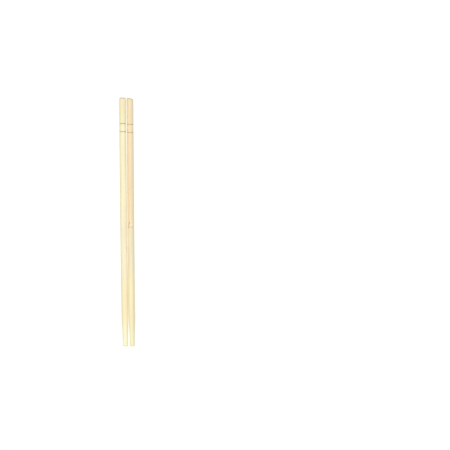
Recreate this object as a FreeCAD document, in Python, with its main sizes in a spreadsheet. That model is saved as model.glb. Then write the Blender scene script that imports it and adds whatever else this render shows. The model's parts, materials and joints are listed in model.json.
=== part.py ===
import FreeCAD, Part
import math
import os

import Sketcher

# A pair of round bamboo chopsticks that lie side by side, each turned from one strip of bamboo.
# Frame: +Y runs along the pair towards the heads, +X is to the right and +Z is up.
# The origin is on the table under the middle of the pair. Lengths are in millimetres.
# Along a stick, a length "from_head" starts at the flat face of its head.
SIZES = {
    "stick_length": 210.0,
    "shank_diameter": 5.6,
    "tip_diameter": 4.1,
    "taper_length": 23.0,
    "shoulder_blend": 5.0,
    "head_round": 1.0,
    "tip_round": 0.8,
    "ring_from_head": 22.0,
    "ring_pitch": 6.8,
    "ring_count": 2,
    "ring_width": 0.9,
    "ring_depth": 0.2,
    "crease_width": 0.6,
    "crease_depth": 0.12,
    "left_crease_from_head": 127.5,
    "right_crease_from_head": 109.3,
    "head_gap": 0.75,
    "closest_gap": 0.12,
    "head_stagger": 0.6,
}

# How far the section of a groove stands outside the surface that it cuts.
GROOVE_OVERRUN = 0.5

ORIGIN = (-1, 1)
X_AXIS = -1
START = 1
END = 2


def make_sheet(doc):
    """Write each size into a cell of its own, under its name."""
    sheet = doc.addObject("Spreadsheet::Sheet", "Sizes")
    for row, (name, value) in enumerate(SIZES.items(), start=1):
        sheet.set(f"A{row}", name)
        sheet.set(f"B{row}", str(value))
        sheet.setAlias(f"B{row}", name)
    doc.recompute()
    return sheet


def new_sketch(body, name):
    """Start a sketch on the body's own XY plane, where Y is the stick's axis."""
    sketch = body.newObject("Sketcher::SketchObject", name)
    plane = next(item for item in body.Origin.OriginFeatures if item.Role == "XY_Plane")
    sketch.AttachmentSupport = [(plane, "")]
    sketch.MapMode = "FlatFace"
    return sketch


def line(x0, y0, x1, y1):
    return Part.LineSegment(FreeCAD.Vector(x0, y0, 0), FreeCAD.Vector(x1, y1, 0))


def arc(centre_x, centre_y, radius, first_angle, last_angle):
    """An arc that runs anticlockwise between two angles in radians."""
    centre = FreeCAD.Vector(centre_x, centre_y, 0)
    circle = Part.Circle(centre, FreeCAD.Vector(0, 0, 1), radius)
    return Part.ArcOfCircle(circle, first_angle, last_angle)


def relate(sketch, kind, *where):
    """Add a constraint that has no size."""
    sketch.addConstraint(Sketcher.Constraint(kind, *where))


def dimension(sketch, name, kind, where, value, expression):
    """Add a named size and tie it to the sheet."""
    index = sketch.addConstraint(Sketcher.Constraint(kind, *where, value))
    sketch.renameConstraint(index, name)
    sketch.setExpression(f"Constraints.{name}", expression)


def half_profile(body, sheet):
    """Half the lengthwise section: tip face at Y 0, cone, long shoulder curve, shank and head."""
    length = sheet.stick_length
    shank = sheet.shank_diameter / 2
    tip = sheet.tip_diameter / 2
    corner = sheet.taper_length
    blend = sheet.shoulder_blend
    slope = math.atan((shank - tip) / corner)
    shoulder = blend / math.tan(slope / 2)
    tip_face = tip - sheet.tip_round * (1 - math.sin(slope)) / math.cos(slope)
    rim = tip_face + sheet.tip_round * math.cos(slope)
    rim_height = sheet.tip_round * (1 - math.sin(slope))
    cone_end = (shank - blend * math.sin(slope), corner - blend * math.cos(slope))
    head_face = shank - sheet.head_round
    head_edge = length - sheet.head_round

    sketch = new_sketch(body, "HalfProfile")
    axis = sketch.addGeometry(line(0, 0, 0, length))
    tip_line = sketch.addGeometry(line(0, 0, tip_face, 0))
    tip_arc = sketch.addGeometry(arc(tip_face, sheet.tip_round, sheet.tip_round, -math.pi / 2, -slope))
    cone = sketch.addGeometry(line(rim, rim_height, *cone_end))
    shoulder_arc = sketch.addGeometry(arc(shank - shoulder, corner + blend, shoulder, -slope, 0))
    side = sketch.addGeometry(line(shank, corner + blend, shank, head_edge))
    head_arc = sketch.addGeometry(arc(head_face, head_edge, sheet.head_round, 0, math.pi / 2))
    head_line = sketch.addGeometry(line(head_face, length, 0, length))
    tip_corner = sketch.addGeometry(Part.Point(FreeCAD.Vector(tip, 0, 0)), True)
    shank_corner = sketch.addGeometry(Part.Point(FreeCAD.Vector(shank, corner, 0)), True)

    relate(sketch, "Coincident", axis, START, *ORIGIN)
    relate(sketch, "Vertical", axis)
    relate(sketch, "Coincident", tip_line, START, *ORIGIN)
    relate(sketch, "Horizontal", tip_line)
    relate(sketch, "Tangent", tip_line, END, tip_arc, START)
    relate(sketch, "Tangent", tip_arc, END, cone, START)
    relate(sketch, "Tangent", cone, END, shoulder_arc, START)
    relate(sketch, "Tangent", shoulder_arc, END, side, START)
    relate(sketch, "Vertical", side)
    relate(sketch, "Tangent", side, END, head_arc, START)
    relate(sketch, "Tangent", head_arc, END, head_line, START)
    relate(sketch, "Coincident", head_line, END, axis, END)
    relate(sketch, "Horizontal", head_line)
    relate(sketch, "PointOnObject", tip_corner, START, X_AXIS)
    relate(sketch, "PointOnObject", tip_corner, START, cone)
    relate(sketch, "PointOnObject", shank_corner, START, cone)
    relate(sketch, "PointOnObject", shank_corner, START, side)

    dimension(sketch, "StickLength", "DistanceY", (*ORIGIN, axis, END), length, "Sizes.stick_length")
    dimension(sketch, "ShankRadius", "DistanceX", (*ORIGIN, side, START), shank, "Sizes.shank_diameter / 2")
    dimension(sketch, "TipRadius", "DistanceX", (*ORIGIN, tip_corner, START), tip, "Sizes.tip_diameter / 2")
    dimension(sketch, "TaperLength", "DistanceY", (*ORIGIN, shank_corner, START), corner, "Sizes.taper_length")
    dimension(sketch, "ShoulderBlend", "DistanceY", (shank_corner, START, side, START), blend,
              "Sizes.shoulder_blend")
    dimension(sketch, "TipRound", "Radius", (tip_arc,), sheet.tip_round, "Sizes.tip_round")
    dimension(sketch, "HeadRound", "Radius", (head_arc,), sheet.head_round, "Sizes.head_round")
    return sketch


def turn_stick(body, sheet):
    """Turn the half profile once round the stick's axis."""
    profile = half_profile(body, sheet)
    turned = body.newObject("PartDesign::Revolution", "Turned")
    turned.Profile = profile
    turned.ReferenceAxis = (profile, ["V_Axis"])
    turned.Angle = 360
    profile.Visibility = False
    return turned


def cut_groove(body, sheet, name, kind, from_head):
    """Cut a round-bottomed groove round the shank, with its middle at a length from the head."""
    shank = sheet.shank_diameter / 2
    width = getattr(sheet, f"{kind}_width")
    depth = getattr(sheet, f"{kind}_depth")
    middle = sheet.stick_length - getattr(sheet, from_head)
    radius = (width ** 2 / 4 + depth ** 2) / (2 * depth)
    half_angle = math.atan2(width / 2, radius - depth)
    outside = shank + GROOVE_OVERRUN
    low = middle - width / 2
    high = middle + width / 2

    sketch = new_sketch(body, f"{name}Section")
    bottom = sketch.addGeometry(arc(shank - depth + radius, middle, radius,
                                    math.pi - half_angle, math.pi + half_angle))
    upper = sketch.addGeometry(line(outside, high, shank, high))
    lower = sketch.addGeometry(line(shank, low, outside, low))
    outer = sketch.addGeometry(line(outside, low, outside, high))
    relate(sketch, "Coincident", upper, END, bottom, START)
    relate(sketch, "Coincident", bottom, END, lower, START)
    relate(sketch, "Coincident", lower, END, outer, START)
    relate(sketch, "Coincident", outer, END, upper, START)
    relate(sketch, "Horizontal", upper)
    relate(sketch, "Horizontal", lower)
    relate(sketch, "Vertical", outer)
    dimension(sketch, "UpperEdge", "DistanceX", (*ORIGIN, upper, END), shank, "Sizes.shank_diameter / 2")
    dimension(sketch, "LowerEdge", "DistanceX", (*ORIGIN, lower, START), shank, "Sizes.shank_diameter / 2")
    dimension(sketch, "Outside", "DistanceX", (*ORIGIN, outer, START), outside,
              f"Sizes.shank_diameter / 2 + {GROOVE_OVERRUN}")
    dimension(sketch, "Width", "DistanceY", (outer, START, outer, END), width, f"Sizes.{kind}_width")
    dimension(sketch, "LowEnd", "DistanceY", (*ORIGIN, lower, START), low,
              f"Sizes.stick_length - Sizes.{from_head} - Sizes.{kind}_width / 2")
    dimension(sketch, "BottomRadius", "Radius", (bottom,), radius,
              f"(Sizes.{kind}_width ^ 2 / 4 + Sizes.{kind}_depth ^ 2) / (2 * Sizes.{kind}_depth)")

    groove = body.newObject("PartDesign::Groove", name)
    groove.Profile = sketch
    groove.ReferenceAxis = (sketch, ["V_Axis"])
    groove.Angle = 360
    sketch.Visibility = False
    return groove


def repeat_ring(body, ring):
    """Repeat the first ring groove along the stick, away from the head."""
    rings = body.newObject("PartDesign::LinearPattern", "Rings")
    rings.Originals = [ring]
    rings.Direction = (ring.Profile[0], ["V_Axis"])
    rings.Reversed = True
    rings.setExpression("Length", "Sizes.ring_pitch * (Sizes.ring_count - 1)")
    rings.setExpression("Occurrences", "Sizes.ring_count")
    body.Tip = rings
    return rings


def require_cuts(features):
    """Stop if a feature in the list takes nothing off the one before it."""
    for before, after in zip(features, features[1:]):
        if after.Shape.Volume >= before.Shape.Volume:
            raise RuntimeError(f"{after.Name} cuts nothing")


def place_stick(body, side):
    """Lay the stick on the table, side -1 on the left and 1 on the right, closing towards the tips.

    Half the gap between the shanks closes between the head and the start of the shoulder.
    """
    closing = "(Sizes.head_gap - Sizes.closest_gap) / 2"
    shank_run = "(Sizes.stick_length - Sizes.taper_length - Sizes.shoulder_blend)"
    tilt = f"atan({closing} / {shank_run})"
    head_x = "(Sizes.shank_diameter + Sizes.head_gap) / 2"
    x = f"{side} * ({head_x} - Sizes.stick_length * sin({tilt}))"
    y = f"-Sizes.stick_length * cos({tilt}) / 2 - {side} * Sizes.head_stagger / 2"
    z = "Sizes.shank_diameter / 2"
    turn = f"rotation(vector(0; 0; 1); {-side} * {tilt})"
    body.setExpression("Placement", f"placement(vector({x}; {y}; {z}); {turn})")


def make_stick(doc, sheet, label, side, crease_from_head):
    """One stick: turned blank, ring grooves below the head and the crease of its bamboo node."""
    body = doc.addObject("PartDesign::Body", label)
    body.Label = label
    turned = turn_stick(body, sheet)
    ring = cut_groove(body, sheet, "Ring", "ring", "ring_from_head")
    rings = repeat_ring(body, ring)
    crease = cut_groove(body, sheet, "Crease", "crease", crease_from_head)
    place_stick(body, side)
    doc.recompute()
    require_cuts([turned, ring, rings, crease])
    return body


def check_document(doc, bodies):
    """Stop on a failed object or a bad solid before anything is written."""
    for item in doc.Objects:
        if "Invalid" in item.State or "Error" in item.State:
            raise RuntimeError(f"{item.Name} failed: {item.State}")
    for body in bodies:
        shape = body.Shape
        if shape.isNull() or not shape.isValid() or len(shape.Solids) != 1:
            raise RuntimeError(f"{body.Label} isn't one valid solid")


def write_parts(bodies):
    os.makedirs("parts", exist_ok=True)
    for body in bodies:
        body.Shape.exportStep(f"parts/{body.Label}.step")
        box = body.Shape.optimalBoundingBox(False, False)
        low = (round(box.XMin, 3), round(box.YMin, 3), round(box.ZMin, 3))
        high = (round(box.XMax, 3), round(box.YMax, 3), round(box.ZMax, 3))
        print(body.Label, low, high, "volume", round(body.Shape.Volume, 2))


def main():
    doc = FreeCAD.newDocument("Chopsticks")
    sheet = make_sheet(doc)
    left = make_stick(doc, sheet, "left_chopstick", -1, "left_crease_from_head")
    right = make_stick(doc, sheet, "right_chopstick", 1, "right_crease_from_head")
    check_document(doc, [left, right])
    write_parts([left, right])


main()
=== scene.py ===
"""A pair of round bamboo chopsticks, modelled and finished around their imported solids."""

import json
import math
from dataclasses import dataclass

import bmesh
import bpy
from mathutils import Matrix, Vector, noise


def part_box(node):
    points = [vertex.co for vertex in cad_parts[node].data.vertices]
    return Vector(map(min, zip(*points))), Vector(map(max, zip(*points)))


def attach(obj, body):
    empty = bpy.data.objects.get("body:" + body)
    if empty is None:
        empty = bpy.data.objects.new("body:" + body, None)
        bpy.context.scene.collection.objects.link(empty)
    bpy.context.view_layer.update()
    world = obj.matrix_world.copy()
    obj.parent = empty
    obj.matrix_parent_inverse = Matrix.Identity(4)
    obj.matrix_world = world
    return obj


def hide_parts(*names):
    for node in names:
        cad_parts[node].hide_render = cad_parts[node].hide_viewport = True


bl_info = {
    "name": "Bamboo Chopsticks",
    "version": (1, 0, 0),
    "blender": (4, 5, 0),
    "location": "3D View > Sidebar > Chopsticks",
    "description": "Turns two bamboo chopsticks, gives them their grain and lays them on a white table",
    "category": "Add Mesh",
}

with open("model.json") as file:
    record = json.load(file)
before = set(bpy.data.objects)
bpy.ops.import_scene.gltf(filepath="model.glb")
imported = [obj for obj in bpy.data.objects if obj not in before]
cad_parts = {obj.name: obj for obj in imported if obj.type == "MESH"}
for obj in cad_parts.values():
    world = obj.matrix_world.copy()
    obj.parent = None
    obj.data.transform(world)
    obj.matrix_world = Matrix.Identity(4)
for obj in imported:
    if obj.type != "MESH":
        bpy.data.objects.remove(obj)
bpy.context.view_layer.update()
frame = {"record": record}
MM = 0.001

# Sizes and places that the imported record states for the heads.
MOUNTS = {mount["name"]: mount for mount in frame["record"]["mounts"]}
HEAD_PIN = MOUNTS["left_head_pin"]
SHANK_DIAMETER = 2 * MM * HEAD_PIN["dims"]["r_mm"]
HEAD_TO_PIN = (Vector(HEAD_PIN["pos_m"]) - Vector(MOUNTS["left_head_end"]["pos_m"])).length
HEAD_TO_GROOVE = HEAD_TO_PIN + MM * HEAD_PIN["dims"]["length_mm"] / 2
LEFT_LOW, LEFT_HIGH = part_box("left_chopstick")
STICK_LENGTH = LEFT_HIGH.y - LEFT_LOW.y

# How finely a stick is divided: around, along, and over the arcs of its section.
AROUND = 144
ROW = 0.6 * MM
ARC_STEPS = 6
GROOVE_STEPS = 10
SHOULDER_STEPS = 12
CAP_RINGS = 5
NODE_CUTS = 3

# Least cosine between the stick and an edge that runs along it, and between the stick and the
# normal of a flat end or of a face that the map counts to a sawn end. Faces that meet at more than
# the last angle are shaded with an edge between them.
LENGTHWISE = 0.9
FLAT_END = 0.99
MAPPED_END = 0.8
EDGE_ANGLE = math.radians(35)

# How far past a node its finer rows reach, and its marks.
FINE_REACH = 2 * MM
MARK_REACH = 6 * MM

# Lengths from the tip: where a cone is thinnest against the drawing, how far that reaches, and
# where a bent tip starts and ends its bend.
THIN_FROM_TIP = 9.5 * MM
THIN_REACH = 14 * MM
BEND_START = 42 * MM
BEND_END = 17 * MM

# The map that a surface is unrolled into: its columns, the share of it that they fill, their pitch
# in girths, where the sawn ends lie above them in columns, and where each end lies across.
MAP_COLUMNS = 4
MAP_FILL = 0.97
MAP_PITCH = 1.03
ENDS_ABOVE = 1.02
HEAD_ACROSS = 0.1
TIP_ACROSS = 0.3

# How strongly marks show: bundles and hairlines along the stick, bundles on a sawn end, the grey
# of the head's rim, partly end grain and partly painted shade, and the painted shade, in dark brown,
# towards the right side of the ring grooves.
BUNDLE_SHARE = 0.28
HAIR_SHARE = 0.2
DOT_SHARE = 0.7
RIM_GREY_AND_SHADE_SHARE = 0.5
GROOVE_SHADE_SHARE = 0.4

# How far the roughness of hard fibres lies below the mean and that of soft tissue above it, and
# the roughness of sawn ends and grooves.
POLISH = 0.07
DULL = 0.8

# Radius of the table in metres, and the corners of its outline.
TABLE_RADIUS = 3.0
TABLE_CORNERS = 96

# Settings that many nodes share.
SMOOTH = {"interpolation_type": "SMOOTHSTEP"}
COLOURS = {"data_type": "RGBA"}


def linear(text):
    """Turn an sRGB hex colour into linear red, green, blue and alpha."""
    values = [int(text[i:i + 2], 16) / 255 for i in (1, 3, 5)]
    return tuple(v / 12.92 if v <= 0.04045 else ((v + 0.055) / 1.055) ** 2.4 for v in values) + (1.0,)


def length_setting(name, description, default):
    """A length in metres that the sidebar can change."""
    return bpy.props.FloatProperty(name=name, description=description, default=default, unit="LENGTH")


def share_setting(name, description, default):
    """A share from 0 to 1 that the sidebar can change."""
    return bpy.props.FloatProperty(
        name=name, description=description, default=default, min=0.0, max=1.0, subtype="FACTOR")


def colour_setting(name, description, default):
    """A linear colour with alpha that the sidebar can change."""
    return bpy.props.FloatVectorProperty(
        name=name, description=description, default=default, size=4, subtype="COLOR")


class StickShape(bpy.types.PropertyGroup):
    """Sizes of one turned stick, measured along it from the flat face of its head."""

    length: length_setting("Length", "From the head's face to the tip's face", STICK_LENGTH)
    shank_diameter: length_setting("Shank diameter", "Thickness of the straight part", SHANK_DIAMETER)
    tip_diameter: length_setting("Tip diameter", "Thickness of the cone at the tip's face", 4.1 * MM)
    taper_length: length_setting(
        "Taper length", "From the tip to where cone and shank would meet", 23 * MM)
    shoulder_blend: length_setting(
        "Shoulder blend", "Half the stretch that eases the shank into the cone", 5 * MM)
    head_round: length_setting("Head rounding", "Radius of the head's rim", 1.0 * MM)
    tip_round: length_setting("Tip rounding", "Radius of the tip's rim", 0.8 * MM)
    ring_width: length_setting(
        "Ring groove width", "Width of each ring groove below the head", 0.9 * MM)
    ring_depth: length_setting("Ring groove depth", "Depth of each ring groove", 0.2 * MM)
    ring_pitch: length_setting(
        "Ring groove pitch", "Distance from one ring groove to the next", 6.8 * MM)
    ring_count: bpy.props.IntProperty(
        name="Ring grooves", description="How many ring grooves the stick has", default=2, min=0)
    crease_depth: length_setting(
        "Node crease depth", "Depth of the crease that the culm's node leaves", 0.12 * MM)
    fibre_relief: length_setting(
        "Fibre relief", "Height between the hard fibres and the soft grain", 0.05 * MM)
    left_bow: length_setting("Left bow", "How far the left stick's middle bows to the left", 0.35 * MM)
    right_bow: length_setting(
        "Right bow", "How far the right stick's middle bows to the left", 0.1 * MM)
    left_askew: length_setting(
        "Left head askew", "How much further back the left head is sawn on its right", 0.25 * MM)
    right_askew: length_setting(
        "Right head askew", "How much further back the right head is sawn on its right", 1.3 * MM)
    right_short: length_setting(
        "Right stick short", "How much shorter the right stick was sawn", 0.6 * MM)
    right_lowered: length_setting(
        "Right grooves lowered", "How much further from its head the right stick is grooved", 0.25 * MM)
    left_thin: length_setting(
        "Left thinness", "How much further in the left stick's cone was turned", 0.05 * MM)
    right_thin: length_setting(
        "Right thinness", "How much further in the right stick's cone was turned", 0.22 * MM)
    right_tip_bend: length_setting(
        "Right tip bend", "How far the right stick's tip bends to the right", 0.24 * MM)
    out_of_round: length_setting(
        "Out of round", "How far the turned surface wanders over a few centimetres", 0.03 * MM)


class BambooFinish(bpy.types.PropertyGroup):
    """Colours and gloss of dried, turned and unlacquered bamboo."""

    left_cut: colour_setting("Left cut end", "Left stick next to its head's rim", linear("#fbeac0"))
    left_head: colour_setting("Left head", "Left stick above its first groove", linear("#f8ecbb"))
    left_shank: colour_setting("Left shank", "Left stick below its grooves", linear("#fef4c8"))
    left_middle: colour_setting("Left middle", "Left stick round its node", linear("#fef3ce"))
    left_golden: colour_setting("Left golden part", "Left stick above its taper", linear("#ffefbf"))
    left_tip: colour_setting("Left tip", "Left stick at its tip", linear("#fffad6"))
    left_groove: colour_setting(
        "Left grooves", "Left stick where the grooving tool browned it", linear("#d4c595"))
    right_cut: colour_setting("Right cut end", "Right stick next to its head's rim", linear("#f4e5b5"))
    right_head: colour_setting("Right head", "Right stick from its head to its node", linear("#fbe2b8"))
    right_middle: colour_setting("Right middle", "Right stick below its node", linear("#f9ebc6"))
    right_golden: colour_setting("Right golden part", "Right stick above its taper", linear("#fef0bf"))
    right_tip: colour_setting("Right tip", "Right stick at its tip", linear("#fff7ca"))
    right_groove: colour_setting(
        "Right grooves", "Right stick where the grooving tool browned it", linear("#dbc69b"))
    fibre: colour_setting("Fibre", "Hard fibre bundles in the grain", linear("#dcbf86"))
    scar: colour_setting(
        "Dark brown", "The node's crease, hairlines and the dots on a sawn end", linear("#8f774c"))
    # Pale colour on the node's swellings and ridge: a painted highlight on their raised edges.
    painted_swell_highlight: colour_setting(
        "Node swelling", "Pale spots where the node stands proud", linear("#fff6e0"))
    end_grain: colour_setting("End grain", "Sawn ends of the stick", linear("#cfc5a9"))
    # Skin and hollow colours are the culm's own tones, and also painted shade on each stick's outer flank
    # and painted light on its inner flank.
    skin: colour_setting(
        "Skin side", "Denser, greyer wood from next to the culm's skin", linear("#ddd8c2"))
    skin_and_shade_share: share_setting("Skin share", "How strongly the skin side takes that colour", 0.5)
    hollow: colour_setting(
        "Hollow side", "Softer, paler wood from next to the culm's hollow", linear("#fff8e6"))
    hollow_and_light_share: share_setting("Hollow share", "How strongly the hollow side takes that colour", 0.35)
    roughness: share_setting("Roughness", "Sanded bamboo is satin, neither glossy nor chalky", 0.5)


class StudioSetup(bpy.types.PropertyGroup):
    """White table, soft light and a camera that looks straight down."""

    pixel_size: length_setting(
        "Pixel size", "Length on the table that one picture element shows", 0.8444 * MM)
    frame_pixels: bpy.props.IntProperty(
        name="Frame", description="Width and height of the picture in pixels", default=450)
    pair_pixel: bpy.props.FloatVectorProperty(
        name="Pair centre", description="Where the middle of the pair lies in the picture, in pixels",
        size=2, default=(127.5, 222.3))
    pair_turn: bpy.props.FloatProperty(
        name="Pair turn", description="How far the heads lean to the left in the picture",
        default=math.radians(0.59), subtype="ANGLE")
    lens: bpy.props.FloatProperty(
        name="Lens", description="Focal length in millimetres: a long lens keeps the sticks parallel",
        default=200.0)
    sky: bpy.props.FloatProperty(
        name="Sky", description="Strength of the even light from all round", default=0.62, min=0.0)
    lamp_power: bpy.props.FloatProperty(
        name="Lamp power", description="Power of the soft overhead lamp in watts", default=6.0, min=0.0)
    lamp_place: bpy.props.FloatVectorProperty(
        name="Lamp place", description="Where the lamp hangs: a little left of the pair",
        default=(-0.03, 0.1, 1.2), subtype="TRANSLATION")
    lamp_size: length_setting("Lamp size", "Side of the square lamp", 0.9)
    table_card: colour_setting(
        "Card", "The card's own colour, which throws light back at the sticks", linear("#e7e7e7"))
    # The table's glow to the camera keeps it white; its warm tint is a painted reflection of the sticks'
    # light where their shadow falls.
    table_glow_with_painted_warmth: colour_setting(
        "Table in shadow", "The overlit table between the sticks, warmed by them", linear("#fffae4"))
    table_shade: colour_setting(
        "Table shade", "What full light adds to the table, so that it is white",
        (0.11, 0.16, 0.27, 1.0))


def select_in_edit_mode(obj, kind, test):
    """In edit mode, select only the edges or faces that pass a test of their place or normal."""
    bpy.ops.mesh.select_mode(type=kind)
    bpy.ops.mesh.select_all(action="DESELECT")
    mesh = bmesh.from_edit_mesh(obj.data)
    for item in mesh.edges if kind == "EDGE" else mesh.faces:
        if test(item):
            item.select_set(True)
    bmesh.update_edit_mesh(obj.data)


def taper_slope(shape):
    """Angle between the cone's side and the stick's axis."""
    return math.atan((shape.shank_diameter - shape.tip_diameter) / 2 / shape.taper_length)


def groove_points(shape, middle):
    """One round-bottomed ring groove, as lengths from the head and radii."""
    half_width = shape.ring_width / 2
    radius = (half_width ** 2 + shape.ring_depth ** 2) / (2 * shape.ring_depth)
    reach = math.asin(half_width / radius)
    bottom = shape.shank_diameter / 2 - shape.ring_depth
    points = []
    for step in range(GROOVE_STEPS + 1):
        angle = reach * (2 * step / GROOVE_STEPS - 1)
        points.append((middle + radius * math.sin(angle), bottom + radius * (1 - math.cos(angle))))
    return points


def stick_profile(shape):
    """The stick's outline from the rim of its head to the rim of its tip: lengths and radii."""
    shank = shape.shank_diameter / 2
    points = []
    for step in range(ARC_STEPS + 1):
        angle = math.pi / 2 * step / ARC_STEPS
        points.append((shape.head_round * (1 - math.cos(angle)),
                       shank - shape.head_round * (1 - math.sin(angle))))
    for ring in range(shape.ring_count):
        first = HEAD_TO_GROOVE + shape.ring_width / 2
        points += groove_points(shape, first + ring * shape.ring_pitch)

    slope = taper_slope(shape)
    blend_radius = shape.shoulder_blend / math.tan(slope / 2)
    blend_start = shape.length - shape.taper_length - shape.shoulder_blend
    for step in range(SHOULDER_STEPS + 1):
        angle = slope * step / SHOULDER_STEPS
        points.append((blend_start + blend_radius * math.sin(angle),
                       shank - blend_radius * (1 - math.cos(angle))))

    rim = shape.tip_round
    rim_centre = shape.tip_diameter / 2 - rim * (1 - math.sin(slope)) / math.cos(slope)
    for step in range(ARC_STEPS + 1):
        angle = slope + (math.pi / 2 - slope) * step / ARC_STEPS
        points.append((shape.length - rim + rim * math.sin(angle), rim_centre + rim * math.cos(angle)))
    return points


def close_end(obj, normal_y):
    """Inset the flat end that faces along normal_y into rings, down to a point in its middle."""

    def flat_end(face):
        return face.normal.y * normal_y > FLAT_END and len(face.verts) == AROUND

    select_in_edit_mode(obj, "FACE", flat_end)
    mesh = bmesh.from_edit_mesh(obj.data)
    end = next(face for face in mesh.faces if face.select)
    radius = (end.verts[0].co - end.calc_center_median()).length
    for _ in range(CAP_RINGS):
        bpy.ops.mesh.inset(thickness=radius / (CAP_RINGS + 1))
    bpy.ops.mesh.poke()


def turn_blank(shape):
    """Turn one stick along -Y from its head's face at the origin, ring by ring from its outline."""
    outline = stick_profile(shape)
    bpy.ops.object.select_all(action="DESELECT")
    bpy.ops.mesh.primitive_circle_add(vertices=AROUND, radius=outline[0][1], fill_type="NGON",
                                      rotation=(math.pi / 2, 0, 0))
    blank = bpy.context.object
    bpy.ops.object.transform_apply(location=True, rotation=True, scale=True)
    bpy.ops.object.mode_set(mode="EDIT")
    bpy.ops.mesh.select_all(action="SELECT")
    for (length, radius), (next_length, next_radius) in zip(outline, outline[1:]):
        bpy.ops.mesh.extrude_region_move(
            TRANSFORM_OT_translate={"value": (0, length - next_length, 0)})
        grow = next_radius / radius
        bpy.ops.transform.resize(value=(grow, 1, grow), center_override=(0, -next_length, 0))

    bpy.ops.mesh.select_mode(type="EDGE")
    bpy.ops.mesh.select_all(action="DESELECT")
    bpy.ops.mesh.select_non_manifold()
    bpy.ops.mesh.edge_face_add()
    bpy.ops.mesh.select_all(action="SELECT")
    bpy.ops.mesh.normals_make_consistent(inside=False)
    for (length, _), (next_length, _) in zip(outline, outline[1:]):
        cuts = round((next_length - length) / ROW) - 1
        if cuts > 0:
            cut_rows(blank, length, next_length, cuts)
    close_end(blank, 1)
    close_end(blank, -1)
    bpy.ops.object.mode_set(mode="OBJECT")
    return blank


def cut_rows(obj, first, last, cuts):
    """Cut rows across every lengthwise edge whose middle lies between two lengths from the head."""

    def lengthwise(edge):
        start, end = (vert.co for vert in edge.verts)
        middle = -(start.y + end.y) / 2
        return first < middle < last and abs(start.y - end.y) > LENGTHWISE * (start - end).length

    select_in_edit_mode(obj, "EDGE", lengthwise)
    bpy.ops.mesh.subdivide(number_cuts=cuts)


def bell(distance, width):
    """1 at distance 0, falling smoothly to almost nothing at one width."""
    return math.exp(-4 * (distance / width) ** 2)


class Node:
    """Where the culm's node crosses a stick, and how its marks look round the stick.

    A crease runs right round, and an arc (turn, half width, depth) deepens a stretch of it. A faint
    line runs upper_gap above it. A nick is an oval that is cut in and a swell one that stands proud,
    both (place, turn, length, width, lean). Places and lengths are given in millimetres, places from
    the head. Turns go from the stick's top to its right side, and they, widths and leans are given
    in degrees.
    """

    # How far the crease wanders along the stick, slowly and quickly, and how uneven its depth is.
    SLOW_WANDER = 0.2 * MM
    QUICK_WANDER = 0.12 * MM
    UNEVEN_DEPTH = 0.8

    # The crease's least depth, its width, and the depth and width of its soft edges.
    LEAST_DEPTH = 0.1
    CREASE_WIDTH = 0.42 * MM
    EDGE_DEPTH = 0.16
    EDGE_WIDTH = 1.8 * MM

    # The ridge, which lies its own width above the crease, and the faint line: mean height or depth,
    # how much that changes round the stick, and width. The line wanders further than the crease.
    RIDGE = (0.16, 0.3, 1.1 * MM)
    LINE = (0.1, 0.5, 0.5 * MM)
    LINE_WANDER = 1.6

    # Depth of a nick and height of a swell.
    NICK_DEPTH = 1.5
    SWELL_HEIGHT = 0.9

    def __init__(self, crease, upper_gap, seed, arcs, nicks, swells):
        self.crease = crease * MM
        self.upper = self.crease - upper_gap * MM
        self.seed = seed
        self.arcs = [(math.radians(turn), math.radians(width), depth) for turn, width, depth in arcs]
        self.nicks = [self.in_scene_units(*nick) for nick in nicks]
        self.swells = [self.in_scene_units(*swell) for swell in swells]

    @staticmethod
    def in_scene_units(place, turn, length, width, lean):
        """A nick or a swell in metres and radians."""
        return (place * MM, math.radians(turn), length * MM, math.radians(width), math.radians(lean))

    def mark(self, from_head, angle):
        """How far the surface is cut in at from_head metres, or below 0 where it stands proud."""
        wander = (self.SLOW_WANDER * self.uneven(angle, 1.3, (0, 0, 0))
                  + self.QUICK_WANDER * self.uneven(angle, 6.0, (0, 0, 0)))
        deep = self.LEAST_DEPTH
        for turn, half_width, depth in self.arcs:
            off = math.remainder(angle - turn, 2 * math.pi)
            deep += depth * math.exp(-(off / half_width) ** 4)
        deep *= 1.0 + self.UNEVEN_DEPTH * self.uneven(angle, 7.0, (0, 0, 5))
        from_crease = from_head - self.crease - wander
        value = deep * (bell(from_crease, self.CREASE_WIDTH)
                        + self.EDGE_DEPTH * bell(from_crease, self.EDGE_WIDTH))

        height, change, width = self.RIDGE
        ridge = height + change * self.uneven(angle, 2.0, (0, 9, 0))
        value -= max(ridge, 0) * bell(from_crease + width, width)
        depth, change, width = self.LINE
        line = depth + change * self.uneven(angle, 1.7, (0, 4, 0))
        value += max(line, 0) * bell(from_head - self.upper + self.LINE_WANDER * wander, width)

        value += self.NICK_DEPTH * sum(self.oval(from_head, angle, *nick) for nick in self.nicks)
        value -= self.SWELL_HEIGHT * sum(self.oval(from_head, angle, *swell) for swell in self.swells)
        return value

    def uneven(self, angle, pace, layer):
        """Noise round 0 that changes round the stick at a pace; each layer has its own."""
        side = Vector((math.sin(angle), math.cos(angle), self.seed))
        return noise.noise(pace * side + Vector(layer))

    @staticmethod
    def oval(from_head, angle, place, turn, length, width, lean):
        """1 in the middle of an oval mark: place and length along the stick, the rest in radians."""
        along = (from_head - place) / length
        across = (math.remainder(angle - turn, 2 * math.pi) - lean * along) / width
        return bell(math.hypot(along, across), 1.0)


# The right stick's node has a dark crease right across, broken near the top, two short nicks above
# it and swellings beside them, which carry a painted highlight.
RIGHT_NODE = Node(
    crease=109.15, upper_gap=4.6, seed=3.1,
    arcs=[(-38, 28, 0.7), (26, 21, 1.0), (120, 34, 0.4), (-150, 50, 0.55)],
    nicks=[(105.5, -28, 1.6, 13, -8), (107.5, -39, 1.8, 10, 0)],
    swells=[(104.5, 4, 1.1, 30, -12), (106.9, 12, 1.5, 24, -34)],
)
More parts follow.
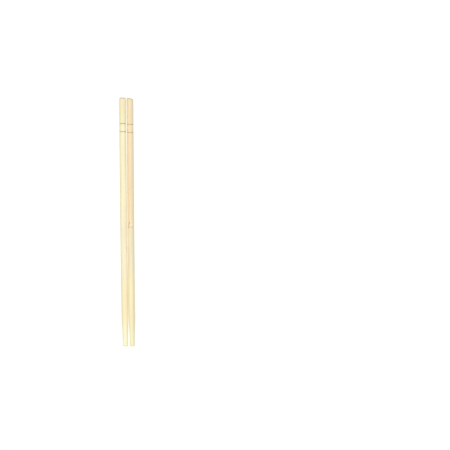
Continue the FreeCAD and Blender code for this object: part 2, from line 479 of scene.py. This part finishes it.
# The left stick's node shows on the side that faces the right stick, and as small spots on top.
LEFT_NODE = Node(
    crease=127.5, upper_gap=3.6, seed=8.4,
    arcs=[(78, 34, 0.5), (165, 50, 0.6)],
    nicks=[(126.4, 70, 1.5, 14, 0)],
    swells=[(124.0, 68, 1.6, 34, -10), (127.2, 13, 1.5, 14, 8), (130.1, 13, 1.1, 13, 0)],
)


def carve_node(stick, shape, node):
    """Cut finer rows round the node, push its crease in, and keep the depth as an attribute."""
    bpy.ops.object.mode_set(mode="EDIT")
    cut_rows(stick, node.upper - FINE_REACH, node.crease + FINE_REACH, NODE_CUTS)
    bpy.ops.object.mode_set(mode="OBJECT")
    marks = stick.data.attributes.new("node_mark", "FLOAT", "POINT")
    for vert in stick.data.vertices:
        from_head = -vert.co.y
        if not node.upper - MARK_REACH < from_head < node.crease + MARK_REACH:
            continue
        mark = node.mark(from_head, math.atan2(vert.co.x, vert.co.z))
        marks.data[vert.index].value = mark
        inward = Vector((-vert.co.x, 0, -vert.co.z)).normalized()
        vert.co += inward * shape.crease_depth * mark


def roughen(stick, name, width, length, strength):
    """Raise and lower the surface by a cloud pattern drawn out along the stick."""
    bpy.ops.object.empty_add()
    stretch = bpy.context.object
    stretch.scale = (width, length, width)
    clouds = bpy.data.textures.new(name, "CLOUDS")
    clouds.noise_scale = 1.0
    clouds.noise_depth = 1
    bpy.context.view_layer.objects.active = stick
    relief = stick.modifiers.new(name, "DISPLACE")
    relief.texture = clouds
    relief.texture_coords = "OBJECT"
    relief.texture_coords_object = stretch
    relief.strength = strength
    relief.mid_level = 0.5
    bpy.ops.object.modifier_apply(modifier=name)
    bpy.data.objects.remove(stretch)
    bpy.data.textures.remove(clouds)


def bow_to_left(stick, shape, sagitta):
    """Bow the stick sideways on the table: its middle moves by sagitta and its ends stay."""
    for vert in stick.data.vertices:
        share = -vert.co.y / shape.length
        vert.co.x -= 4 * sagitta * share * (1 - share)


def lower_grooves(stick, shape, offset):
    """Move the ring grooves away from the head by offset, and ease that out above and below them."""
    below_grooves = HEAD_TO_GROOVE + shape.ring_count * shape.ring_pitch
    for vert in stick.data.vertices:
        from_head = -vert.co.y
        share = min(from_head / HEAD_TO_GROOVE, 1.0, 2.0 - from_head / below_grooves)
        vert.co.y -= offset * max(share, 0.0)


def thin_cone(stick, shape, depth):
    """Take depth off all round the cone, most in its lower half and nothing at its shoulder."""
    for vert in stick.data.vertices:
        from_tip = shape.length + vert.co.y
        radius = math.hypot(vert.co.x, vert.co.z)
        if from_tip > shape.taper_length + shape.shoulder_blend or radius == 0:
            continue
        shrink = 1 - depth * bell(from_tip - THIN_FROM_TIP, THIN_REACH) * 2 / shape.tip_diameter
        vert.co.x *= shrink
        vert.co.z *= shrink


def bend_tip(stick, shape, offset):
    """Bend the last stretch of the stick sideways on the table, by offset to the right."""
    for vert in stick.data.vertices:
        from_tip = shape.length + vert.co.y
        share = min(max((BEND_START - from_tip) / (BEND_START - BEND_END), 0.0), 1.0)
        vert.co.x += offset * share * share * (3 - 2 * share)


def saw_askew(stick, shape, askew):
    """Tilt the head's face, as a saw cut that isn't square leaves it: its right side lies back."""
    fade_length = 3 * askew + shape.head_round
    for vert in stick.data.vertices:
        fade = max(0.0, 1 + vert.co.y / fade_length)
        vert.co.y -= askew * fade * vert.co.x / shape.shank_diameter


def unroll(stick, shape):
    """Unroll the stick into columns side by side, so that a picture of its surface stays sharp."""
    girth = math.pi * shape.shank_diameter
    pitch = MAP_PITCH * girth
    margin = (pitch - girth) / 2
    column = shape.length / MAP_COLUMNS
    scale = MAP_FILL / (MAP_COLUMNS * pitch)
    ends_height = scale * (ENDS_ABOVE * column + shape.shank_diameter / 2)
    layer = stick.data.uv_layers.new(name="OFBake")
    for face in stick.data.polygons:
        centre = face.center
        from_head = -centre.y
        near_end = not shape.head_round < from_head < shape.length - shape.tip_round
        sawn = near_end and abs(face.normal.y) > MAPPED_END
        end_across = HEAD_ACROSS if from_head < shape.length / 2 else TIP_ACROSS
        turn = math.atan2(centre.x, centre.z)
        index = min(int(from_head / column), MAP_COLUMNS - 1)
        for loop in face.loop_indices:
            co = stick.data.vertices[stick.data.loops[loop].vertex_index].co
            if sawn:
                layer.data[loop].uv = (end_across + scale * co.x, ends_height + scale * co.z)
                continue
            angle = turn + math.remainder(math.atan2(co.x, co.z) - turn, 2 * math.pi)
            across = (angle / math.pi + 1) / 2 * girth
            layer.data[loop].uv = (scale * (index * pitch + margin + across),
                                   scale * (-co.y - index * column))


def heading(end_mount):
    """How far a stick is turned about Z, from its end mount's axis."""
    axis = Vector(end_mount["axis"])
    return math.atan2(-axis.x, axis.y)


def lay_on_table(stick, end_mount):
    """Put the stick's head on its end mount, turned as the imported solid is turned."""
    stick.location = Vector(end_mount["pos_m"])
    stick.rotation_euler = (0, 0, heading(end_mount))
    bpy.ops.object.select_all(action="DESELECT")
    stick.select_set(True)
    bpy.context.view_layer.objects.active = stick
    bpy.ops.object.transform_apply(location=True, rotation=True, scale=True)


@dataclass
class Strip:
    """One strip of bamboo, and how the stick that was turned from it departs from the plain shape.

    grain_place and seed shift its relief and its fibres, so that no two sticks have the same. Its
    skin side lies at skin_turn, from the top to the right; it faces the stick's outer flank, where
    its grey paints shade. stops are its colours along the stick, each with a share of the length,
    and groove is the one in its ring grooves. The rest are the sizes that StickShape holds for each
    side.
    """

    name: str
    end_mount: dict
    node: Node
    grain_place: tuple
    seed: float
    skin_turn: float
    stops: list
    groove: tuple
    thin: float
    bow: float
    askew: float
    lowered: float = 0.0
    tip_bend: float = 0.0
    short: float = 0.0


def left_strip(shape, finish):
    """The left stick's strip, pale straw yellow."""
    return Strip(
        name="left_stick", end_mount=MOUNTS["left_head_end"], node=LEFT_NODE,
        grain_place=(0, 0, 0), seed=1.7, skin_turn=math.radians(-120),
        stops=[(0.0, finish.left_cut), (0.045, finish.left_head), (0.15, finish.left_shank),
               (0.33, finish.left_shank), (0.6, finish.left_middle), (0.7, finish.left_middle),
               (0.8, finish.left_golden), (0.87, finish.left_golden), (0.96, finish.left_tip)],
        groove=finish.left_groove,
        thin=shape.left_thin, bow=shape.left_bow, askew=shape.left_askew,
    )


def right_strip(shape, finish):
    """The right stick's strip, peach coloured down to its node."""
    return Strip(
        name="right_stick", end_mount=MOUNTS["right_head_end"], node=RIGHT_NODE,
        grain_place=(0.03, 0, 0.02), seed=4.9, skin_turn=math.radians(75),
        stops=[(0.0, finish.right_cut), (0.035, finish.right_head), (0.49, finish.right_head),
               (0.55, finish.right_middle), (0.64, finish.right_middle), (0.76, finish.right_golden),
               (0.88, finish.right_golden), (0.95, finish.right_tip)],
        groove=finish.right_groove,
        thin=shape.right_thin, bow=shape.right_bow, askew=shape.right_askew,
        lowered=shape.right_lowered, tip_bend=shape.right_tip_bend, short=shape.right_short,
    )


def finish_stick(blank, shape, strip):
    """Copy the blank and give the copy the strip's node, grain, form, length and place."""
    bpy.ops.object.select_all(action="DESELECT")
    blank.select_set(True)
    bpy.context.view_layer.objects.active = blank
    bpy.ops.object.duplicate()
    stick = bpy.context.object
    stick.name = strip.name
    stick.data.name = strip.name
    carve_node(stick, shape, strip.node)
    shift = Matrix.Translation(strip.grain_place)
    stick.data.transform(shift)
    roughen(stick, "FibreRelief", width=0.35 * MM, length=16 * MM, strength=shape.fibre_relief)
    roughen(stick, "OutOfRound", width=2.4 * MM, length=45 * MM, strength=shape.out_of_round)
    stick.data.transform(shift.inverted())
    unroll(stick, shape)
    lower_grooves(stick, shape, strip.lowered)
    thin_cone(stick, shape, strip.thin)
    bow_to_left(stick, shape, strip.bow)
    bend_tip(stick, shape, strip.tip_bend)
    saw_askew(stick, shape, strip.askew)
    stick.data.transform(Matrix.Diagonal((1, 1 - strip.short / shape.length, 1, 1)))
    lay_on_table(stick, strip.end_mount)
    bpy.ops.object.shade_smooth_by_angle(angle=EDGE_ANGLE)
    return stick


def add_node(tree, kind, settings=None, links=None):
    """Add a node, set its properties, and give its inputs, by name or number, a value or a link.

    A link is another node's socket, or that node itself for its first enabled output. Where inputs
    share a name, it means the enabled one.
    """
    node = tree.nodes.new(kind)
    for name, value in (settings or {}).items():
        setattr(node, name, value)
    for key, value in (links or {}).items():
        if isinstance(key, str):
            key = next(i for i, socket in enumerate(node.inputs) if socket.name == key and socket.enabled)
        if isinstance(value, bpy.types.Node):
            value = next(socket for socket in value.outputs if socket.enabled)
        if isinstance(value, bpy.types.NodeSocket):
            tree.links.new(value, node.inputs[key])
        else:
            node.inputs[key].default_value = value
    return node


def fibre_bundles(tree, grain, spacing, length, core, rim, shift):
    """1 inside bundles, 0 between them; spacing and length in mm, core and rim in spacings."""
    drawn_out = add_node(tree, "ShaderNodeMapping", links={
        "Vector": grain, "Location": shift, "Scale": (1 / spacing, 1 / length, 1 / spacing)})
    cells = add_node(tree, "ShaderNodeTexVoronoi", {"feature": "F1"}, {
        "Vector": drawn_out, "Scale": 1.0, "Randomness": 0.95})
    return add_node(tree, "ShaderNodeMapRange", SMOOTH, {
        "Value": cells, "From Min": core, "From Max": rim, "To Min": 1.0, "To Max": 0.0})


def streaks(tree, grain, width, length, detail, shift):
    """Noise round 0.5 whose marks are width across the stick and length along it, in mm."""
    drawn_out = add_node(tree, "ShaderNodeMapping", links={
        "Vector": grain, "Location": shift, "Scale": (1 / width, 1 / length, 1 / width)})
    return add_node(tree, "ShaderNodeTexNoise", links={
        "Vector": drawn_out, "Scale": 1.0, "Detail": detail, "Roughness": 0.6})


def swaying_grain(tree, stick, from_head, crease, seed):
    """The place on the stick, moved sideways by up to 0.2 mm because the fibres sway.

    A sway takes a few centimetres. At the node, crease mm from the head, it is twice as wide.
    """
    past_node = add_node(tree, "ShaderNodeMath", {"operation": "SUBTRACT"}, {0: from_head, 1: crease})
    to_node = add_node(tree, "ShaderNodeMath", {"operation": "ABSOLUTE"}, {0: past_node})
    reach = add_node(tree, "ShaderNodeMapRange", SMOOTH, {
        "Value": to_node, "From Max": 9.0, "To Min": 1.1, "To Max": 0.5})
    sway = streaks(tree, stick, width=7, length=26, detail=1.0, shift=(seed, seed, 0))
    sideways = add_node(tree, "ShaderNodeVectorMath", {"operation": "MULTIPLY_ADD"}, {
        0: sway.outputs["Color"], 1: (1, 0, 1), 2: (-0.5, 0, -0.5)})
    scaled = add_node(tree, "ShaderNodeVectorMath", {"operation": "SCALE"}, {0: sideways, "Scale": reach})
    return add_node(tree, "ShaderNodeVectorMath", {"operation": "ADD"}, {0: stick, 1: scaled})


def strip_colour(tree, from_head, shape, stops):
    """The strip's own colour, which changes along the stick: stops are (share of length, colour)."""
    share = add_node(tree, "ShaderNodeMath", {"operation": "DIVIDE"}, {
        0: from_head, 1: shape.length / MM})
    node = add_node(tree, "ShaderNodeValToRGB", links={"Fac": share})
    ramp = node.color_ramp
    ramp.interpolation = "EASE"
    ramp.elements.remove(ramp.elements[-1])
    ramp.elements[0].position, ramp.elements[0].color = stops[0]
    for place, colour in stops[1:]:
        ramp.elements.new(place).color = colour
    return node


def in_ring_grooves(tree, from_head, shape, lowered):
    """1 over the width of each ring groove, which lies lowered further from the head, else 0."""
    first = (HEAD_TO_GROOVE + shape.ring_width / 2 + lowered) / MM
    pitch = shape.ring_pitch / MM
    half_width = shape.ring_width / 2 / MM
    past_first = add_node(tree, "ShaderNodeMath", {"operation": "SUBTRACT"}, {0: from_head, 1: first})
    to_nearest = add_node(tree, "ShaderNodeMath", {"operation": "PINGPONG"}, {
        0: past_first, 1: pitch / 2})
    inside = add_node(tree, "ShaderNodeMapRange", SMOOTH, {
        "Value": to_nearest, "From Min": 0.55 * half_width, "From Max": 1.05 * half_width,
        "To Min": 1.0, "To Max": 0.0})
    after_start = add_node(tree, "ShaderNodeMath", {"operation": "GREATER_THAN"}, {
        0: past_first, 1: -pitch / 2})
    before_end = add_node(tree, "ShaderNodeMath", {"operation": "LESS_THAN"}, {
        0: past_first, 1: (shape.ring_count - 0.5) * pitch})
    in_reach = add_node(tree, "ShaderNodeMath", {"operation": "MULTIPLY"}, {
        0: after_start, 1: before_end})
    return add_node(tree, "ShaderNodeMath", {"operation": "MULTIPLY"}, {0: inside, 1: in_reach})


def turned_bamboo(name, shape, finish, strip):
    """Moso bamboo, split, turned and sanded, with no lacquer.

    The soft ground tissue is straw yellow and even. Hard fibre bundles run through it along the
    stick: on the side they show as fine tan streaks, on a sawn end as brown dots. On the side that
    was next to the culm's skin they stand closer and the wood is greyer, and on the side that was
    next to the hollow it is paler. These sides lie on each stick's outer and inner flanks, so the grey
    also paints shade on the outer flank and the pale paints light on the inner one. The surface is
    satin.
    """
    material = bpy.data.materials.new(name)
    material.use_nodes = True
    tree = material.node_tree
    tree.nodes.clear()

    # Place on the stick in millimetres: Y is minus the length from the head, X and Z lie across.
    place = add_node(tree, "ShaderNodeTexCoord")
    stick = add_node(tree, "ShaderNodeMapping", {"vector_type": "TEXTURE"}, {
        "Vector": place.outputs["Object"],
        "Location": strip.end_mount["pos_m"],
        "Rotation": (0, 0, heading(strip.end_mount)),
        "Scale": (MM, MM, MM),
    })
    parts = add_node(tree, "ShaderNodeSeparateXYZ", links={"Vector": stick}).outputs
    from_head = add_node(tree, "ShaderNodeMath", {"operation": "MULTIPLY"}, {0: parts["Y"], 1: -1.0})
    seed = strip.seed
    grain = swaying_grain(tree, stick, from_head, strip.node.crease / MM, seed)
    radius = shape.shank_diameter / 2 / MM
    skinward = add_node(tree, "ShaderNodeVectorMath", {"operation": "DOT_PRODUCT"}, {
        0: stick, 1: (math.sin(strip.skin_turn), 0.0, math.cos(strip.skin_turn))})

    # Bundles 0.6 mm apart and 60 mm long, closer ones near the skin, and hairlines between them.
    wide = fibre_bundles(tree, grain, spacing=0.6, length=60, core=0.1, rim=0.36,
                         shift=(seed, 0.3 * seed, 0.7 * seed))
    close = fibre_bundles(tree, grain, spacing=0.35, length=45, core=0.12, rim=0.4,
                          shift=(2 * seed, seed, 0))
    near_skin = add_node(tree, "ShaderNodeMapRange", SMOOTH, {
        "Value": skinward, "From Min": -0.4 * radius, "From Max": radius})
    close = add_node(tree, "ShaderNodeMath", {"operation": "MULTIPLY"}, {0: close, 1: near_skin})
    bundles = add_node(tree, "ShaderNodeMath", {"operation": "MAXIMUM"}, {0: wide, 1: close})
    hairs = fibre_bundles(tree, grain, spacing=0.28, length=22, core=0.04, rim=0.22,
                          shift=(seed, 4 * seed, seed))

    # Single fibres 0.2 mm wide and 14 mm long, and a slow drift of tone.
    threads = streaks(tree, grain, width=0.2, length=14, detail=3.0, shift=(0, seed, 3 * seed))
    drift = streaks(tree, grain, width=2.5, length=40, detail=1.0, shift=(seed, 5 * seed, 0))
    fine_tone = add_node(tree, "ShaderNodeMapRange", SMOOTH, {
        "Value": threads, "From Min": 0.3, "From Max": 0.7, "To Min": 0.965, "To Max": 1.045})
    slow_tone = add_node(tree, "ShaderNodeMapRange", SMOOTH, {
        "Value": drift, "From Min": 0.3, "From Max": 0.7, "To Min": 0.98, "To Max": 1.03})
    tone = add_node(tree, "ShaderNodeMath", {"operation": "MULTIPLY"}, {0: fine_tone, 1: slow_tone})

    # Ground tissue, greyer towards the skin and paler towards the hollow. The skin side lies on each
    # stick's outer flank and the hollow side on its inner flank, so these tones also paint shade on the
    # outer flank and light on the inner one.
    skin_grey_and_painted_shade = add_node(tree, "ShaderNodeMapRange", SMOOTH, {
        "Value": skinward, "From Max": radius, "To Max": finish.skin_and_shade_share})
    hollow_pale_and_painted_light = add_node(tree, "ShaderNodeMapRange", SMOOTH, {
        "Value": skinward, "From Min": -0.55 * radius, "From Max": -radius,
        "To Max": finish.hollow_and_light_share})
    wood = strip_colour(tree, from_head, shape, strip.stops)
    wood = add_node(tree, "ShaderNodeMix", COLOURS, {"Factor": skin_grey_and_painted_shade, "A": wood, "B": finish.skin})
    wood = add_node(tree, "ShaderNodeMix", COLOURS, {
        "Factor": hollow_pale_and_painted_light, "A": wood, "B": finish.hollow})
    wood = add_node(tree, "ShaderNodeVectorMath", {"operation": "SCALE"}, {0: wood, "Scale": tone})

    # Bundles and hairlines show through the ground as tan streaks.
    tan = add_node(tree, "ShaderNodeMath", {"operation": "MULTIPLY"}, {0: bundles, 1: BUNDLE_SHARE})
    wood = add_node(tree, "ShaderNodeMix", COLOURS, {"Factor": tan, "A": wood, "B": finish.fibre})
    fine_tan = add_node(tree, "ShaderNodeMath", {"operation": "MULTIPLY"}, {0: hairs, 1: HAIR_SHARE})
    wood = add_node(tree, "ShaderNodeMix", COLOURS, {"Factor": fine_tan, "A": wood, "B": finish.scar})

    # Node: a painted highlight where the wood stands proud, and dark where the crease is cut in, both in
    # streaks.
    mark = add_node(tree, "ShaderNodeAttribute", {"attribute_name": "node_mark"}).outputs["Fac"]
    ragged = add_node(tree, "ShaderNodeMapRange", SMOOTH, {
        "Value": threads, "From Min": 0.35, "From Max": 0.65, "To Min": 1.25, "To Max": 0.75})
    streaky_mark = add_node(tree, "ShaderNodeMath", {"operation": "MULTIPLY"}, {0: mark, 1: ragged})
    # Where the wood stands proud, the pale colour is a painted highlight.
    proud = add_node(tree, "ShaderNodeMapRange", SMOOTH, {
        "Value": streaky_mark, "From Min": -0.05, "From Max": -0.6, "To Max": 0.85})
    cut_in = add_node(tree, "ShaderNodeMapRange", SMOOTH, {
        "Value": streaky_mark, "From Min": 0.08, "From Max": 1.1, "To Max": 0.92})
    wood = add_node(tree, "ShaderNodeMix", COLOURS, {"Factor": proud, "A": wood, "B": finish.painted_swell_highlight})
    wood = add_node(tree, "ShaderNodeMix", COLOURS, {"Factor": cut_in, "A": wood, "B": finish.scar})

    # Sawn ends: darker, because cut fibres soak up light, with the bundles as brown dots. The head's
    # rim is greyed for 1 mm, partly as end grain and partly as painted shade where the rounded rim turns
    # away from the lamp, and the tip's is sanded paler.
    facing = add_node(tree, "ShaderNodeSeparateXYZ", links={"Vector": place.outputs["Normal"]}).outputs
    endways = add_node(tree, "ShaderNodeMath", {"operation": "ABSOLUTE"}, {0: facing["Y"]})
    cut_across = add_node(tree, "ShaderNodeMapRange", SMOOTH, {
        "Value": endways, "From Min": 0.05, "From Max": 0.6})
    unsanded = add_node(tree, "ShaderNodeMapRange", SMOOTH, {
        "Value": from_head, "From Min": 10.0, "From Max": 100.0, "To Min": 1.0, "To Max": 0.45})
    cut_across = add_node(tree, "ShaderNodeMath", {"operation": "MULTIPLY"}, {
        0: cut_across, 1: unsanded})
    from_cut = add_node(tree, "ShaderNodeMath", {"operation": "MULTIPLY_ADD"}, {
        0: parts["X"], 1: -strip.askew / shape.shank_diameter, 2: from_head})
    rim_grey_and_painted_shade = add_node(tree, "ShaderNodeMapRange", SMOOTH, {
        "Value": from_cut, "From Min": 1.4, "From Max": 0.6, "To Max": RIM_GREY_AND_SHADE_SHARE})
    # sawn holds the sawn ends and the rim's grey with its painted shade, and below it also dulls them.
    sawn = add_node(tree, "ShaderNodeMath", {"operation": "MAXIMUM"}, {0: cut_across, 1: rim_grey_and_painted_shade})
    dots = add_node(tree, "ShaderNodeMath", {"operation": "MULTIPLY"}, {0: bundles, 1: DOT_SHARE})
    end_grain = add_node(tree, "ShaderNodeMix", COLOURS, {
        "Factor": dots, "A": finish.end_grain, "B": finish.scar})
    wood = add_node(tree, "ShaderNodeMix", COLOURS, {"Factor": sawn, "A": wood, "B": end_grain})

    # Ring grooves: browned by the grooving tool, and darker brown towards the stick's right side, which
    # is painted shade.
    grooved = in_ring_grooves(tree, from_head, shape, strip.lowered)
    painted_groove_shade = add_node(tree, "ShaderNodeMapRange", SMOOTH, {
        "Value": parts["X"], "From Min": 0.1 * radius, "From Max": 0.8 * radius,
        "To Max": GROOVE_SHADE_SHARE})
    # browned holds the grooves' own browned colour, with the painted shade mixed in towards the right.
    browned = add_node(tree, "ShaderNodeMix", COLOURS, {
        "Factor": painted_groove_shade, "A": strip.groove, "B": finish.scar})
    wood = add_node(tree, "ShaderNodeMix", COLOURS, {"Factor": grooved, "A": wood, "B": browned})

    # Sanding polishes the hard fibres; soft tissue, sawn ends and grooves stay duller.
    polished = add_node(tree, "ShaderNodeMapRange", SMOOTH, {
        "Value": threads, "From Min": 0.3, "From Max": 0.7,
        "To Min": finish.roughness + POLISH, "To Max": finish.roughness - POLISH})
    unpolished = add_node(tree, "ShaderNodeMath", {"operation": "MAXIMUM"}, {0: sawn, 1: grooved})
    dull = add_node(tree, "ShaderNodeMath", {"operation": "MULTIPLY"}, {0: unpolished, 1: DULL})
    roughness = add_node(tree, "ShaderNodeMath", {"operation": "MAXIMUM"}, {0: polished, 1: dull})

    # Fibres and bundles stand up to 0.02 mm proud of the soft tissue.
    height = add_node(tree, "ShaderNodeMath", {"operation": "MULTIPLY_ADD"}, {
        0: bundles, 1: 0.4, 2: threads})
    bump = add_node(tree, "ShaderNodeBump", links={
        "Height": height, "Strength": 0.6, "Distance": 0.02 * MM})
    shader = add_node(tree, "ShaderNodeBsdfPrincipled", links={
        "Base Color": wood, "Roughness": roughness, "Normal": bump, "IOR": 1.5})
    add_node(tree, "ShaderNodeOutputMaterial", links={"Surface": shader})
    return material


class CHOPSTICKS_OT_sticks(bpy.types.Operator):
    """Turn the two chopsticks and finish each as its own strip of bamboo"""

    bl_idname = "chopsticks.sticks"
    bl_label = "Chopsticks"

    def execute(self, context):
        shape = context.scene.stick_shape
        finish = context.scene.bamboo_finish
        pale = left_strip(shape, finish)
        peach = right_strip(shape, finish)
        blank = turn_blank(shape)
        left = finish_stick(blank, shape, pale)
        right = finish_stick(blank, shape, peach)
        bpy.data.objects.remove(blank)
        left.data.materials.append(turned_bamboo("TurnedBambooPale", shape, finish, pale))
        right.data.materials.append(turned_bamboo("TurnedBambooPeach", shape, finish, peach))
        for stick, node, slot in ((left, "left_chopstick", "left_bamboo"),
                                  (right, "right_chopstick", "right_bamboo")):
            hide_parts(node)
            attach(stick, "root")
        return {"FINISHED"}


def seen_directly(tree):
    """Factor that is 1 for a ray from the camera, off a gloss or through a clear body."""
    rays = add_node(tree, "ShaderNodeLightPath").outputs
    seen = add_node(tree, "ShaderNodeMath", {"operation": "MAXIMUM"}, {
        0: rays["Is Camera Ray"], 1: rays["Is Glossy Ray"]})
    return add_node(tree, "ShaderNodeMath", {"operation": "MAXIMUM"}, {
        0: seen, 1: rays["Is Transmission Ray"]})


def white_card(studio):
    """Matt white card.

    It throws light back at the sticks as plain card does. To the camera it is overlit, so it is
    white all over and only a trace of the sticks' shadow is left.
    """
    material = bpy.data.materials.new("WhiteCard")
    material.use_nodes = True
    tree = material.node_tree
    tree.nodes.clear()
    card = add_node(tree, "ShaderNodeBsdfDiffuse", links={"Color": studio.table_card})
    shaded = add_node(tree, "ShaderNodeBsdfDiffuse", links={"Color": studio.table_shade})
    # The glow's warm tint is a painted reflection of the sticks' light, seen where their shadow falls.
    glow = add_node(tree, "ShaderNodeEmission", links={"Color": studio.table_glow_with_painted_warmth, "Strength": 1.0})
    overlit = add_node(tree, "ShaderNodeAddShader", links={0: shaded, 1: glow})
    both = add_node(tree, "ShaderNodeMixShader", links={0: seen_directly(tree), 1: card, 2: overlit})
    add_node(tree, "ShaderNodeOutputMaterial", links={"Surface": both})
    return material


def light_the_room(studio):
    """Even light from all round, which the camera sees as plain white."""
    world = bpy.data.worlds.new("Studio")
    bpy.context.scene.world = world
    world.use_nodes = True
    tree = world.node_tree
    tree.nodes.clear()
    strength = add_node(tree, "ShaderNodeMapRange", links={
        "Value": seen_directly(tree), "To Min": studio.sky, "To Max": 1.0})
    sky = add_node(tree, "ShaderNodeBackground", links={
        "Color": linear("#ffffff"), "Strength": strength})
    add_node(tree, "ShaderNodeOutputWorld", links={"Surface": sky})


class CHOPSTICKS_OT_stage(bpy.types.Operator):
    """Add the white table, the soft light and the camera above the pair"""

    bl_idname = "chopsticks.stage"
    bl_label = "Table, light and camera"

    def execute(self, context):
        studio = context.scene.studio_setup
        bpy.ops.object.select_all(action="DESELECT")
        bpy.ops.mesh.primitive_circle_add(vertices=TABLE_CORNERS, radius=TABLE_RADIUS,
                                          fill_type="NGON")
        table = context.object
        table.name = "table"
        table.data.materials.append(white_card(studio))

        light_the_room(studio)
        place = Vector(studio.lamp_place)
        bpy.ops.object.light_add(type="AREA", location=place,
                                 rotation=place.to_track_quat("Z", "Y").to_euler())
        lamp = context.object
        lamp.name = "soft_lamp"
        lamp.data.energy = studio.lamp_power
        lamp.data.size = studio.lamp_size

        self.look_down(context, studio)
        context.scene.view_settings.view_transform = "Standard"
        return {"FINISHED"}

    def look_down(self, context, studio):
        """Hang the camera over the middle of the picture, so that the pair lies left of it."""
        turn = -studio.pair_turn
        right = Vector((math.cos(turn), math.sin(turn), 0))
        up = Vector((-math.sin(turn), math.cos(turn), 0))
        middle = studio.frame_pixels / 2
        across = (middle - studio.pair_pixel[0]) * studio.pixel_size
        down = (middle - studio.pair_pixel[1]) * studio.pixel_size
        mid_height = context.scene.stick_shape.shank_diameter / 2
        bpy.ops.object.camera_add(rotation=(0, 0, turn))
        camera = context.object
        camera.data.lens = studio.lens
        width = studio.frame_pixels * studio.pixel_size
        height = width * studio.lens / camera.data.sensor_width
        camera.location = right * across - up * down + Vector((0, 0, mid_height + height))
        camera.data.clip_end = 10 * height
        context.scene.camera = camera


class CHOPSTICKS_PT_sidebar(bpy.types.Panel):
    """Lists the steps and the sizes, colours and lights that they use"""

    bl_idname = "CHOPSTICKS_PT_sidebar"
    bl_label = "Bamboo Chopsticks"
    bl_space_type = "VIEW_3D"
    bl_region_type = "UI"
    bl_category = "Chopsticks"

    def draw(self, context):
        layout = self.layout
        for operator in (CHOPSTICKS_OT_sticks, CHOPSTICKS_OT_stage):
            layout.operator(operator.bl_idname)
        for group in (context.scene.stick_shape, context.scene.bamboo_finish, context.scene.studio_setup):
            box = layout.box()
            for name in group.__annotations__:
                box.prop(group, name)


CLASSES = (StickShape, BambooFinish, StudioSetup, CHOPSTICKS_OT_sticks, CHOPSTICKS_OT_stage,
           CHOPSTICKS_PT_sidebar)


def register():
    for cls in CLASSES:
        bpy.utils.register_class(cls)
    bpy.types.Scene.stick_shape = bpy.props.PointerProperty(type=StickShape)
    bpy.types.Scene.bamboo_finish = bpy.props.PointerProperty(type=BambooFinish)
    bpy.types.Scene.studio_setup = bpy.props.PointerProperty(type=StudioSetup)


def unregister():
    del bpy.types.Scene.studio_setup
    del bpy.types.Scene.bamboo_finish
    del bpy.types.Scene.stick_shape
    for cls in reversed(CLASSES):
        bpy.utils.unregister_class(cls)


def main():
    register()
    bpy.ops.chopsticks.sticks()
    bpy.ops.chopsticks.stage()


if __name__ == "__main__":
    main()
